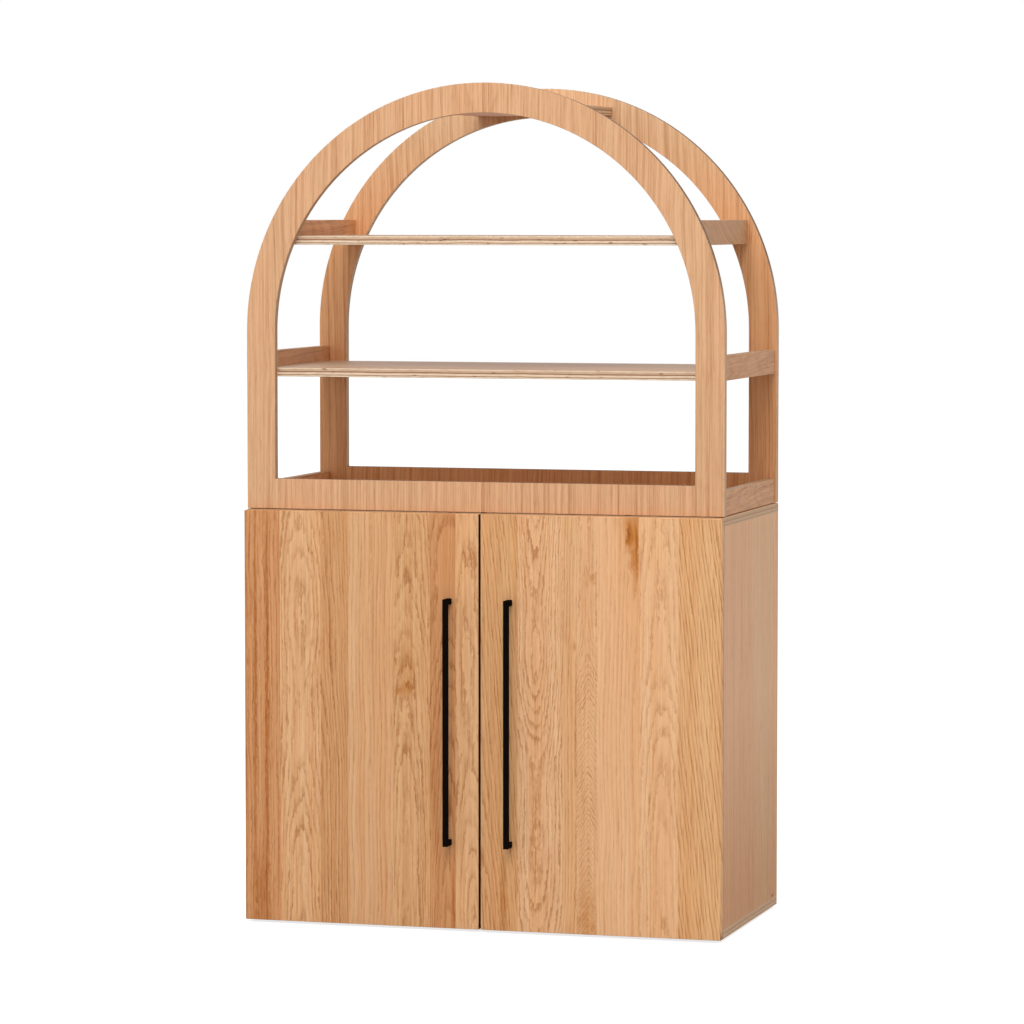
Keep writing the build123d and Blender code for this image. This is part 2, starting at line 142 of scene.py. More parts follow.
# Knots and stained streaks: place across and along the grain in metres, reach each way, how many turns they
# shift the rings by, and the depth of stain. Blots make a spot's outline ragged by this share of its reach.
SPOT_RAGGED = 1.2
Spot = namedtuple("Spot", "across along reach_across reach_along turns stain")
DOOR_SPOTS = [
    Spot(-0.4985, 0.440, 0.0040, 0.420, 0.0, 0.45),
    Spot(-0.4777, 0.480, 0.0034, 0.420, 0.2, 0.86),
    Spot(-0.4523, 0.460, 0.0036, 0.450, 0.2, 0.88),
    Spot(-0.4648, 0.060, 0.0140, 0.090, 0.3, 0.68),
    Spot(-0.3160, 0.600, 0.0035, 0.045, 0.5, 0.65),
    Spot(-0.2250, 0.640, 0.0030, 0.260, 0.1, 0.29),
    Spot(-0.1690, 0.487, 0.0120, 0.012, 0.5, 0.60),
    Spot(-0.1480, 0.493, 0.0110, 0.018, 0.5, 0.65),
    Spot(-0.1580, 0.545, 0.0240, 0.050, 0.4, 0.44),
    Spot(-0.0930, 0.330, 0.0140, 0.160, 0.3, 0.29),
    Spot(-0.0740, 0.540, 0.0040, 0.120, 0.3, 0.52),
    Spot(-0.0640, 0.255, 0.0036, 0.032, 0.3, 0.78),
    Spot(-0.0550, 0.075, 0.0030, 0.080, 0.3, 0.78),
    Spot(0.0500, 0.070, 0.0075, 0.085, 0.3, 0.68),
    Spot(0.2000, 0.585, 0.0070, 0.008, 1.0, 0.55),
    Spot(0.2240, 0.030, 0.0180, 0.075, 0.3, 0.62),
    Spot(0.2360, 0.724, 0.0065, 0.008, 1.2, 0.55),
    Spot(0.3090, 0.812, 0.0050, 0.022, 0.3, 1.56),
    Spot(0.3215, 0.815, 0.0120, 0.055, 0.8, 0.73),
    Spot(0.3240, 0.750, 0.0100, 0.060, 1.4, 0.55),
    Spot(0.2990, 0.838, 0.0130, 0.024, 0.3, 0.33),
    Spot(0.3265, 0.790, 0.0022, 0.060, 0.0, 0.59),
]
SIDE_SPOTS = [Spot(0.226, 0.030, 0.008, 0.003, 0.0, 2.0)]

# Painted shade that a veneer takes on towards its foot, darker and warmer: all of it below one height, none
# above another
Foot = namedtuple("Foot", "tint full clear")
# Painted shade on the back arch, which stands in shade below the shelves
BACK_ARCH_FOOT_SHADE = Foot((1.04, 0.78, 0.59, 1.0), 1.40, 1.75)
# Painted shade on the lower part of the sides, near the floor
SIDE_FOOT_SHADE = Foot((0.76, 0.63, 0.45, 1.0), 0.08, 0.46)

# How dark a growth ring is between its start (0) and the next one's start (1)
RING_PROFILE = [(0.0, 0.65), (0.08, 1.0), (0.25, 0.45), (0.52, 0.10), (0.90, 0.0), (1.0, 0.65)]

# Grain patterns, as noise cells in a metre across the grain, through the board and along the grain
Grain = namedtuple("Grain", "across through along detail")
FIBRE = Grain(330.0, 330.0, 6.0, 3.0)
PORE = Grain(620.0, 620.0, 34.0, 1.0)
JAG = Grain(240.0, 240.0, 60.0, 2.0)
FRAY = Grain(60.0, 60.0, 7.0, 2.0)
BREAK = Grain(150.0, 150.0, 16.0, 2.0)
BLOT = Grain(130.0, 130.0, 60.0, 2.0)
PATCH = Grain(48.0, 48.0, 0.9, 2.0)
SWAY = Grain(0.0, 0.0, 3.4, 1.0)
DRIFT = Grain(0.0, 0.0, 2.2, 1.0)
VENEER_BAND = Grain(11.0, 11.0, 0.6, 2.0)
VENEER_LINE = Grain(230.0, 230.0, 1.6, 3.0)
EDGE_RIPPLE = Grain(9.0, 0.0, 9.0, 2.0)
EDGE_SPECK = Grain(60.0, 420.0, 60.0, 2.0)
EDGE_VOID = Grain(40.0, 220.0, 40.0, 1.0)
FINE = Grain(1800.0, 1800.0, 1800.0, 2.0)
CLOUD = Grain(70.0, 70.0, 70.0, 3.0)

# Stops of place in a pattern's noise and the share that follows from it
FIBRE_STOPS = [(0.34, 0.0), (0.66, 1.0)]
PORE_STOPS = [(0.54, 0.0), (0.70, 1.0)]
PATCH_STOPS = [(0.36, 0.0), (0.66, 1.0)]
LINE_STOPS = [(0.30, 1.0), (0.44, 0.40), (0.60, 0.0)]
SPECK_STOPS = [(0.42, 0.0), (0.78, 0.5)]
VOID_STOPS = [(0.68, 0.0), (0.73, 0.8)]
BAND_START = 0.38
BAND_END = 0.62

# Stops for a tint that fades out upwards, and for one that grows as an edge turns to face up
FADING_STOPS = [(0.0, 1.0), (1.0, 0.0)]
FACING_UP_STOPS = [(0.03, 0.0), (0.30, 1.0)]

# Growth rings: noise cells in a turn, and the factor and offset that make some years darker than others
YEAR_CELLS = 0.8
YEAR_DARKNESS = (2.0, -0.25)
# Factor and offset of the breaks in a stave's rings
RING_BREAKS = (2.6, -0.45)
# Noise cells in a metre of a stave's radius, and how many turns they shift the rings by
UNEVEN_CELLS = 60.0
UNEVEN_TURNS = 1.6
# How strongly rings darken a stave, and the factor and offset of their centre's depth behind a veneer
STAVE_RINGS = 1.15
VENEER_RING_DEPTH = (0.12, 0.02)

# How a wood shows its grain: how far it sways in metres, how far frays and jags turn the rings, how much
# pores, fibres (factor and offset) and pale fibres change the colour, relief of rings or lines, roughness,
# and strength and depth of the bump
Wood = namedtuple("Wood", "sway fray jag pores fibres pale groove roughness bump")
STAVE_WOOD = Wood(0.010, 1.1, 0.80, 0.22, (-0.45, 0.33), 0.5, -0.4, 0.48, (0.25, 0.0004))
VENEER_WOOD = Wood(0.008, 1.0, 0.40, 0.24, (-0.36, 0.18), 0.6, -0.5, 0.46, (0.20, 0.0003))
PORE_RELIEF = -0.6
FIBRE_RELIEF = 0.25
PORE_ROUGHNESS = 0.12
FIBRE_ROUGHNESS = 0.12
WOOD_SHEEN = 0.25

# Factors that give each stave and each veneered board its own noise
STAVE_SEED = 61.0
VENEER_SEED = 3.7

# How far along an axis a normal points where a sheet's face turns into its edge, and the ripple of the plies
EDGE_FACING = 0.6
PLY_RIPPLE = 0.08

# Sockets of the Mix node that take the share and the two colours, and the one that gives the result
MIX_INPUTS = (0, 6, 7)
MIX_OUTPUT = 2
# Where a new stop of a ramp lies until it is placed
NEW_STOP = 0.5

# Plies of a cut edge from one face to the other: place through the sheet and colour
PLY_CREAM = srgb(250, 227, 193)
PLY_TAN = srgb(220, 184, 148)
PLY_ROSE = srgb(252, 224, 190)
PLY_GLUE = srgb(158, 114, 76)
PLIES = [
    (0.00, PLY_CREAM), (0.15, PLY_CREAM), (0.18, PLY_GLUE), (0.24, PLY_GLUE), (0.28, PLY_ROSE),
    (0.48, PLY_ROSE), (0.52, PLY_GLUE), (0.61, PLY_GLUE), (0.66, PLY_TAN), (0.84, PLY_TAN), (0.88, PLY_CREAM),
]


class Paint:
    """One node material. Most methods add nodes and give the socket that carries their result."""

    def __init__(self, name):
        self.material = bpy.data.materials.new(name)
        self.material.use_nodes = True
        self.tree = self.material.node_tree
        self.tree.nodes.clear()
        self.shader = self.tree.nodes.new("ShaderNodeBsdfPrincipled")
        output = self.tree.nodes.new("ShaderNodeOutputMaterial")
        self.tree.links.new(self.shader.outputs["BSDF"], output.inputs["Surface"])

    def feed(self, socket, value):
        """Link a socket to another one, or set it to a plain value."""
        if isinstance(value, bpy.types.NodeSocket):
            self.tree.links.new(value, socket)
        else:
            socket.default_value = value

    def finish(self, **inputs):
        """Set or link the shader's own inputs, and give the material."""
        for name, value in inputs.items():
            self.feed(self.shader.inputs[name.replace("_", " ")], value)
        return self.material

    def math(self, operation, first, second=0.0, third=0.0):
        """What one math operation makes of its values."""
        node = self.tree.nodes.new("ShaderNodeMath")
        node.operation = operation
        for socket, value in zip(node.inputs, (first, second, third)):
            self.feed(socket, value)
        return node.outputs[0]

    def total(self, *values):
        """The sum of several values."""
        result = values[0]
        for value in values[1:]:
            result = self.math("ADD", result, value)
        return result

    def scaled(self, value, factor, offset=0.0):
        """A value times a factor, plus an offset."""
        return self.math("MULTIPLY_ADD", value, factor, offset)

    def centred(self, noise, reach):
        """Noise from 0 to 1 as a shift of up to a reach either way."""
        return self.scaled(noise, 2 * reach, -reach)

    def length(self, first, second):
        """How long a vector with two parts is."""
        squares = self.total(self.math("MULTIPLY", first, first), self.math("MULTIPLY", second, second))
        return self.math("SQRT", squares)

    def coordinates(self, output="Object"):
        """The part's own coordinates, or the normal's, as x, y and z sockets."""
        texture = self.tree.nodes.new("ShaderNodeTexCoord")
        split = self.tree.nodes.new("ShaderNodeSeparateXYZ")
        self.tree.links.new(texture.outputs[output], split.inputs[0])
        return dict(zip("xyz", split.outputs))

    def place(self):
        """The part's own x, y and z."""
        return tuple(self.coordinates().values())

    def noise(self, x=0.0, y=0.0, z=0.0, detail=1.0):
        """Smooth noise, about 0 to 1, at a point whose coordinates are already scaled."""
        point = self.tree.nodes.new("ShaderNodeCombineXYZ")
        for socket, value in zip(point.inputs, (x, y, z)):
            self.feed(socket, value)
        node = self.tree.nodes.new("ShaderNodeTexNoise")
        self.tree.links.new(point.outputs[0], node.inputs["Vector"])
        node.inputs["Scale"].default_value = 1.0
        node.inputs["Detail"].default_value = detail
        return node.outputs[0]

    def grain(self, place, pattern, seed=0.0):
        """Noise stretched like a grain pattern. The place is across, through and along the grain."""
        across, through, along = place
        return self.noise(
            self.scaled(across, pattern.across),
            self.math("MULTIPLY_ADD", through, pattern.through, seed),
            self.scaled(along, pattern.along),
            pattern.detail,
        )

    def ramp(self, value, stops, interpolation="LINEAR"):
        """A value looked up in stops of (place, grey value or colour)."""
        node = self.tree.nodes.new("ShaderNodeValToRGB")
        node.color_ramp.interpolation = interpolation
        elements = node.color_ramp.elements
        while len(elements) < len(stops):
            elements.new(NEW_STOP)
        for element, (place, colour) in zip(elements, stops):
            element.position = place
            element.color = colour if isinstance(colour, tuple) else (colour, colour, colour, 1.0)
        self.feed(node.inputs[0], value)
        return node.outputs[0]

    def mix(self, share, first, second, blend="MIX"):
        """Two colours mixed by a share from 0 to 1."""
        node = self.tree.nodes.new("ShaderNodeMix")
        node.data_type = "RGBA"
        node.blend_type = blend
        node.clamp_factor = True
        for index, value in zip(MIX_INPUTS, (share, first, second)):
            self.feed(node.inputs[index], value)
        return node.outputs[MIX_OUTPUT]

    def tinted(self, share, colour, tint):
        """A colour that takes on a tint by a share from 0 to 1."""
        return self.mix(share, colour, tint, "MULTIPLY")

    def stained(self, depth, colour):
        """A colour with an amber stain, which turns dark where its depth passes 1."""
        amber = self.tinted(depth, colour, STAIN)
        return self.tinted(self.scaled(depth, 1.0, -1.0), amber, DARK_STAIN)

    def bump(self, height, strength, distance):
        """A normal that follows a height."""
        node = self.tree.nodes.new("ShaderNodeBump")
        node.inputs["Strength"].default_value = strength
        node.inputs["Distance"].default_value = distance
        self.feed(node.inputs["Height"], height)
        return node.outputs[0]

    def closed_in(self, reach):
        """How much of the light other surfaces within a reach keep away, 0 to 1."""
        node = self.tree.nodes.new("ShaderNodeAmbientOcclusion")
        node.inputs["Distance"].default_value = reach
        return self.scaled(node.outputs["AO"], -1.0, 1.0)

    def spots(self, across, along, spots, ragged=0.0):
        """How much knots turn the growth rings and how much they stain the wood."""
        turns, stain = 0.0, 0.0
        for spot in spots:
            side = self.scaled(across, 1 / spot.reach_across, -spot.across / spot.reach_across)
            side = self.total(side, ragged)
            way = self.scaled(along, 1 / spot.reach_along, -spot.along / spot.reach_along)
            distance = self.length(side, way)
            nearness = self.math("EXPONENT", self.math("MULTIPLY", distance, self.scaled(distance, -1.0)))
            turns = self.math("MULTIPLY_ADD", nearness, spot.turns, turns)
            stain = self.math("MULTIPLY_ADD", nearness, spot.stain, stain)
        return turns, stain


def growth_rings(paint, radius, spacing, shift, seed):
    """How dark the growth rings are along a radius. Some years are darker than others."""
    turns = paint.total(paint.math("DIVIDE", radius, spacing), shift)
    line = paint.ramp(paint.math("FRACT", turns), RING_PROFILE)
    year = paint.noise(paint.scaled(turns, YEAR_CELLS), seed)
    return paint.math("MULTIPLY", line, paint.scaled(year, *YEAR_DARKNESS))


def frayed(paint, place, wood, seed):
    """How far ragged fibres turn the growth rings."""
    frays = paint.scaled(paint.grain(place, FRAY, seed), wood.fray)
    return paint.total(frays, paint.scaled(paint.grain(place, JAG, seed), wood.jag))


def fibres_and_pores(paint, place, seed):
    """Noise along the fibres, then the share of pale fibres and of dark pores."""
    fibre = paint.grain(place, FIBRE, seed)
    return fibre, paint.ramp(fibre, FIBRE_STOPS), paint.ramp(paint.grain(place, PORE), PORE_STOPS)


def wooden(paint, wood, colour, grooves, fine_grain, sheen=WOOD_SHEEN):
    """The finished material: a colour, and a relief and roughness from its grooves, fibres and pores."""
    fibre, fibres, pores = fine_grain
    relief = paint.total(
        paint.scaled(grooves, wood.groove), paint.scaled(pores, PORE_RELIEF),
        paint.scaled(fibres, FIBRE_RELIEF),
    )
    along_fibres = paint.scaled(fibre, FIBRE_ROUGHNESS, wood.roughness)
    return paint.finish(
        Base_Color=colour,
        Roughness=paint.total(paint.scaled(pores, PORE_ROUGHNESS), along_fibres),
        Specular_IOR_Level=sheen,
        Normal=paint.bump(relief, *wood.bump),
    )


def oak_staves(name, staves, node):
    """Edge-glued oak staves: each has its own tone and its own cut through the growth rings."""
    paint = Paint(name)
    at = paint.coordinates()
    place = (at["x"], at["y"], at["z"])
    low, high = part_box(node)
    span = high.x - low.x
    share = paint.scaled(at["x"], 1 / span, -low.x / span)
    total_width = sum(stave.width for stave in staves)
    starts = [sum(stave.width for stave in staves[:index]) / total_width for index in range(len(staves))]

    # The staves with their lengths in metres and their rings' centres in the frame
    placed = []
    for start, stave in zip(starts, staves):
        lengths = {field: getattr(stave, field) / MILLIMETRES for field in STAVE_LENGTHS}
        lengths["centre"] += low.x + (start + stave.width / total_width / 2) * span
        placed.append(stave._replace(**lengths))

    def lookup(*fields):
        """Three values of the stave at hand, which a colour carries between their limits."""
        limits = [STAVE_LIMITS[field] for field in fields]
        stops = []
        for start, stave in zip(starts, placed):
            values = [getattr(stave, field) for field in fields]
            packed = [(value - least) / (most - least) for value, (least, most) in zip(values, limits)]
            stops.append((start, (*packed, 1.0)))
        split = paint.tree.nodes.new("ShaderNodeSeparateXYZ")
        paint.tree.links.new(paint.ramp(share, stops, "CONSTANT"), split.inputs[0])
        carried = zip(split.outputs, limits)
        return [paint.scaled(socket, most - least, least) for socket, (least, most) in carried]

    tone = paint.ramp(share, [(start, srgb(*stave.tone)) for start, stave in zip(starts, staves)], "CONSTANT")
    centre, depth, tilt = lookup("centre", "depth", "tilt")
    climb, lean, wander = lookup("climb", "lean", "wander")
    spacing, contrast, fray = lookup("spacing", "contrast", "fray")
    seed = paint.scaled(centre, STAVE_SEED)
    height = paint.scaled(at["z"], 1.0, -(low.z + high.z) / 2)
    behind = paint.scaled(at["y"], 1.0, -low.y)

    # Knots and streaks, each within its own stave
    ragged = paint.centred(paint.grain(place, BLOT, seed), SPOT_RAGGED)
    turns, stain = 0.0, 0.0
    for begin, end in zip(starts, starts[1:] + [1.0]):
        own_spots = [spot for spot in DOOR_SPOTS if begin <= (spot.across - low.x) / span < end]
        if own_spots:
            inside = paint.ramp(share, [(edge, float(edge == begin)) for edge in starts], "CONSTANT")
            own_turns, own_stain = paint.spots(at["x"], at["z"], own_spots, ragged)
            turns = paint.math("MULTIPLY_ADD", inside, own_turns, turns)
            stain = paint.math("MULTIPLY_ADD", inside, own_stain, stain)

    # Growth rings
    sway = paint.centred(paint.grain(place, SWAY, seed), STAVE_WOOD.sway)
    drift = paint.centred(paint.grain(place, DRIFT, paint.scaled(seed, -1.0)), 1.0)
    leaning = paint.math("MULTIPLY", lean, height)
    across = paint.total(at["x"], paint.scaled(centre, -1.0), leaning, sway)
    tilting = paint.math("MULTIPLY", tilt, height)
    inward = paint.total(depth, behind, tilting, paint.math("MULTIPLY", wander, drift))
    climbed = paint.math("SMOOTH_MIN", paint.scaled(height, 1.0, -CLIMB_TOP), 0.0, CLIMB_EASE)
    radius = paint.math("MULTIPLY_ADD", climb, climbed, paint.length(across, inward))
    unevenness = paint.scaled(paint.noise(paint.scaled(radius, UNEVEN_CELLS), seed), UNEVEN_TURNS)
    fraying = paint.math("MULTIPLY", fray, frayed(paint, place, STAVE_WOOD, seed))
    rings = growth_rings(paint, radius, spacing, paint.total(fraying, unevenness, turns), seed)
    rings = paint.math("MULTIPLY", rings, paint.scaled(paint.grain(place, BREAK, seed), *RING_BREAKS))

    # Fibres, pores and broad streaks
    fine_grain = fibres_and_pores(paint, place, seed)
    _, fibres, pores = fine_grain
    patch = paint.ramp(paint.grain(place, PATCH, seed), PATCH_STOPS)
    amount = paint.total(
        paint.scaled(rings, STAVE_RINGS), paint.scaled(pores, STAVE_WOOD.pores),
        paint.scaled(fibres, *STAVE_WOOD.fibres),
    )
    colour = paint.tinted(paint.math("MULTIPLY", amount, contrast), tone, DARK_GRAIN)
    colour = paint.tinted(paint.scaled(fibres, STAVE_WOOD.pale), colour, PALE_CAST)
    colour = paint.tinted(patch, colour, WARM_CAST)
    colour = paint.stained(stain, colour)

    # Painted shade: the edges are darker where the doors meet and other surfaces close them in
    sideways = paint.math("ABSOLUTE", paint.coordinates("Normal")["x"])
    on_edge = paint.math("GREATER_THAN", sideways, EDGE_FACING)
    closed_in = paint.scaled(paint.closed_in(MEETING_REACH), MEETING_DEPTH)
    colour = paint.tinted(paint.math("MULTIPLY", on_edge, closed_in), colour, MEETING_SHADE)
    return wooden(paint, STAVE_WOOD, colour, rings, fine_grain)


# Which axes run across the grain, along it and through the sheet
UPRIGHT_FRONT = "xzy"
UPRIGHT_SIDE = "yzx"
LYING_SIDE = "zyx"
LYING_FLAT = "yxz"

# Veneers: tone, how strongly lines, bands and rings show, the rings' spacing in metres, how far the grain
# leans, how far edges fade into the tone and what tints them, sheen, painted shade towards the foot, and
# whether edges that face up are dark
Veneer = namedtuple(
    "Veneer", "tone lines bands rings spacing lean edge_fade edge_tint sheen foot dark_top",
    defaults=(WOOD_SHEEN, None, False),
)
ARCH_VENEER = Veneer(ARCH_TONE, 0.60, 0.40, 0.22, 0.012, 0.00, 0.25, SHADED, dark_top=True)
BACK_ARCH_VENEER = ARCH_VENEER._replace(tone=BACK_ARCH_TONE, bands=0.20, foot=BACK_ARCH_FOOT_SHADE)
RAIL_VENEER = Veneer(RAIL_TONE, 0.50, 0.45, 0.40, 0.009, 0.05, 0.25, SHADED)
RIGHT_RAIL_VENEER = Veneer(RIGHT_RAIL_TONE, 0.50, 0.45, 0.38, 0.009, 0.05, 0.25, SHADED)
SHELF_VENEER = Veneer(SHELF_TONE, 0.30, 0.30, 0.15, 0.012, 0.00, 0.00, PLAIN_EDGE, sheen=0.60)
CARCASS_VENEER = Veneer(CARCASS_TONE, 0.35, 0.95, 0.14, 0.016, 0.00, 0.60, SHADED)
SIDE_VENEER = CARCASS_VENEER._replace(foot=SIDE_FOOT_SHADE)
BACK_VENEER = Veneer(BACK_TONE, 0.40, 0.50, 0.30, 0.014, 0.00, 0.30, SHADED)


def veneered(node, axes, look, spots=()):
    """Oak veneer on plywood: grain along one axis, ply layers on the edges across the sheet's thickness."""
    paint = Paint(f"{node}_wood")
    at = paint.coordinates()
    facing = paint.coordinates("Normal")
    across, along, through = (at[axis] for axis in axes)
    low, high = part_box(node)
    middle = (low + high)["xyz".index(axes[0])] / 2
    thin = "xyz".index(axes[2])
    thickness = high[thin] - low[thin]
    seed = VENEER_SEED * (1 + sorted(nodes).index(node))
    sway = paint.centred(paint.grain((across, through, along), SWAY, seed), VENEER_WOOD.sway)
    leaning = paint.total(across, paint.scaled(along, -look.lean), sway)
    place = (leaning, through, along)

    # Veneer: broad bands, narrow lines, fine fibres and growth rings
    band = paint.ramp(paint.grain(place, VENEER_BAND, seed), [(BAND_START, 0.0), (BAND_END, look.bands)])
    lines = paint.ramp(paint.grain(place, VENEER_LINE, seed), LINE_STOPS)
    fine_grain = fibres_and_pores(paint, place, seed)
    _, fibres, pores = fine_grain
    side = paint.scaled(leaning, 1.0, -middle)
    inward = paint.scaled(paint.grain(place, DRIFT, seed), *VENEER_RING_DEPTH)
    fraying = frayed(paint, place, VENEER_WOOD, seed)
    rings = growth_rings(paint, paint.length(side, inward), look.spacing, fraying, seed)
    amount = paint.total(
        paint.scaled(lines, look.lines), paint.scaled(rings, look.rings),
        paint.scaled(pores, VENEER_WOOD.pores), paint.scaled(fibres, *VENEER_WOOD.fibres),
    )
    veneer = paint.tinted(amount, look.tone, DARK_GRAIN)
    veneer = paint.tinted(band, veneer, ROSE_CAST)
    veneer = paint.tinted(paint.scaled(fibres, VENEER_WOOD.pale), veneer, PALE_CAST)
    if spots:
        _, stain = paint.spots(across, along, spots)
        veneer = paint.stained(stain, veneer)
    # Painted shade: a darker, warmer tint towards the foot
    if look.foot:
        reach = look.foot.clear - look.foot.full
        raised = paint.scaled(along, 1 / reach, -look.foot.full / reach)
        veneer = paint.tinted(paint.ramp(raised, FADING_STOPS), veneer, look.foot.tint)

    # Edges: uneven plies, specks of end grain and a few dark voids
    ripple = paint.centred(paint.grain(place, EDGE_RIPPLE, seed), PLY_RIPPLE)
    layer = paint.scaled(through, 1 / thickness, -low[thin] / thickness)
    edge = paint.ramp(paint.total(layer, ripple), PLIES)
    edge = paint.tinted(paint.ramp(paint.grain(place, EDGE_SPECK, seed), SPECK_STOPS), edge, DARK_GRAIN)
    edge = paint.tinted(paint.ramp(paint.grain(place, EDGE_VOID, seed), VOID_STOPS), edge, VOID)
    edge = paint.tinted(1.0, paint.mix(look.edge_fade, edge, look.tone), look.edge_tint)
    if look.dark_top:
        edge = paint.tinted(paint.ramp(facing["z"], FACING_UP_STOPS), edge, TOP_SHADE)
    on_edge = paint.math("LESS_THAN", paint.math("ABSOLUTE", facing[axes[2]]), EDGE_FACING)
    colour = paint.mix(on_edge, veneer, edge)
    return wooden(paint, VENEER_WOOD, colour, lines, fine_grain, look.sheen)


# Coats, metals and plainer materials: the share of light that their darker clouds keep, how much fine grain,
# marks and clouds add to a roughness, and each one's sheen and bump (strength and depth)
CLOUDED = 0.82
FINE_ROUGHNESS = 0.2
MARK_ROUGHNESS = 0.16
CLOUD_ROUGHNESS = 0.10
BLACK_TONES = (srgb(9, 8, 7), srgb(17, 14, 11))
BLACK_ROUGHNESS = 0.7
BLACK_SHEEN = 0.01
BLACK_BUMP = (0.15, 0.0002)
STEEL_BUMP = (0.08, 0.0001)
PLAIN_SHEEN = 0.4
PLAIN_BUMP = (0.1, 0.0002)

# Steels with the pattern of their fine marks, and plainer materials
Steel = namedtuple("Steel", "tone roughness marks")
HINGE_STEEL = Steel(srgb(222, 220, 216), 0.32, Grain(400.0, 400.0, 2600.0, 2.0))
PIN_STEEL = Steel(srgb(186, 186, 186), 0.18, Grain(3000.0, 3000.0, 300.0, 2.0))
SCREW_STEEL = Steel(srgb(182, 182, 178), 0.24, Grain(2000.0, 2000.0, 2000.0, 2.0))
Plain = namedtuple("Plain", "tone roughness")
BEECH = Plain(srgb(208, 174, 136), 0.5)
SOFT_PAD = Plain(srgb(92, 72, 56), 0.6)
GLIDE_PLASTIC = Plain(srgb(64, 58, 52), 0.45)


def darker(tone, share):
    """A tone that keeps a share of its light."""
    return tuple(part * share for part in tone[:3]) + (1.0,)


def black_coat():
    """Fine matt black coating on the handles."""
    paint = Paint("black_coat")
    place = paint.place()
    fine = paint.grain(place, FINE)
    return paint.finish(
        Base_Color=paint.mix(paint.grain(place, CLOUD), *BLACK_TONES),
        Roughness=paint.scaled(fine, FINE_ROUGHNESS, BLACK_ROUGHNESS),
        Specular_IOR_Level=BLACK_SHEEN,
        Normal=paint.bump(fine, *BLACK_BUMP),
    )


def plated_steel(name, steel):
    """Plated steel with fine marks."""
    paint = Paint(name)
    place = paint.place()
    marks = paint.grain(place, steel.marks)
    cloud = paint.grain(place, CLOUD)
    clouded = paint.scaled(cloud, CLOUD_ROUGHNESS, steel.roughness)
    return paint.finish(
        Base_Color=paint.mix(cloud, steel.tone, darker(steel.tone, CLOUDED)),
        Metallic=1.0,
        Roughness=paint.total(paint.scaled(marks, MARK_ROUGHNESS), clouded),
        Normal=paint.bump(marks, *STEEL_BUMP),
    )


def fine_grained(name, plain):
    """Moulded plastic, rubber or plain beech with a fine grain."""
    paint = Paint(name)
    place = paint.place()
    fine = paint.grain(place, FINE)
    cloud = paint.grain(place, CLOUD)
    return paint.finish(
        Base_Color=paint.mix(cloud, plain.tone, darker(plain.tone, CLOUDED)),
        Roughness=paint.scaled(fine, FINE_ROUGHNESS, plain.roughness),
        Specular_IOR_Level=PLAIN_SHEEN,
        Normal=paint.bump(fine, *PLAIN_BUMP),
    )


def paint_node(piece, material):
    """Give an object one material."""
    piece.data.materials.clear()
    piece.data.materials.append(material)


# New meshes: eased edges, steps along the arches' outlines, and sizes in metres that the boxes don't give
EASED = 0.0009
HANDLE_EASED = 0.0011
EASED_STEPS = 3
EASED_ANGLE = math.radians(35)
ARC_STEPS = 112
LEG_STEPS = 6
RAIL_STEPS = 12
ARCH_BAND = 0.060
ARCH_RAIL = 0.061
HANDLE_BAR = 0.0105
HANDLE_FOOT = 0.012


def piece_from(name, node, build, material, eased=EASED):
    """A piece that stands for a node: its mesh, with softly eased edges."""
    form = bmesh.new()
    build(form)
    bmesh.ops.recalc_face_normals(form, faces=form.faces[:])
    mesh = bpy.data.meshes.new(name)
    form.to_mesh(mesh)
    form.free()
    mesh.shade_smooth()
    piece = bpy.data.objects.new(name, mesh)
    bpy.context.scene.collection.objects.link(piece)
    bevel = piece.modifiers.new("eased_edges", "BEVEL")
    bevel.width = eased
    bevel.segments = EASED_STEPS
    bevel.limit_method = "ANGLE"
    bevel.angle_limit = EASED_ANGLE
    bevel.harden_normals = True
    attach(piece, nodes[node]["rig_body"])
    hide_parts(node)
    paint_node(piece, material)


def board(node, material):
    """A board as large as its node."""
    low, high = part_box(node)

    def build(form):
        corners = bmesh.ops.create_cube(form, size=1.0)["verts"]
        bmesh.ops.scale(form, verts=corners, vec=high - low)
        bmesh.ops.translate(form, verts=corners, vec=(low + high) / 2)

    piece_from(f"{node}_board", node, build, material)


def arch_sheet(node, material):
    """A plywood arch: two legs, a half circle and a bottom rail, as one closed frame."""
    low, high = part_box(node)
    outer = (high.x - low.x) / 2
    spring = high.z - outer

    def outline(radius, foot):
        """Points up the left leg, over the crown, down the right leg and back along the foot."""
        leg = [foot + (spring - foot) * step / LEG_STEPS for step in range(LEG_STEPS)]
        points = [(-radius, z) for z in leg]
        for step in range(ARC_STEPS + 1):
            angle = math.pi * (1 - step / ARC_STEPS)
            points.append((radius * math.cos(angle), spring + radius * math.sin(angle)))
        points += [(radius, z) for z in reversed(leg)]
        points += [(radius - 2 * radius * step / RAIL_STEPS, foot) for step in range(1, RAIL_STEPS)]
        return points

    def build(form):
        rings = []
        for y in (low.y, high.y):
            for points in (outline(outer, low.z), outline(outer - ARCH_BAND, low.z + ARCH_RAIL)):
                rings.append([form.verts.new((x, y, z)) for x, z in points])
        front_outer, front_inner, back_outer, back_inner = rings
        loop = [front_outer, front_inner, back_inner, back_outer]
        count = len(front_outer)
        for first, second in zip(loop, loop[1:] + loop[:1]):
            for index in range(count):
                after = (index + 1) % count
                form.faces.new((first[index], first[after], second[after], second[index]))

    piece_from(f"{node}_sheet", node, build, material)


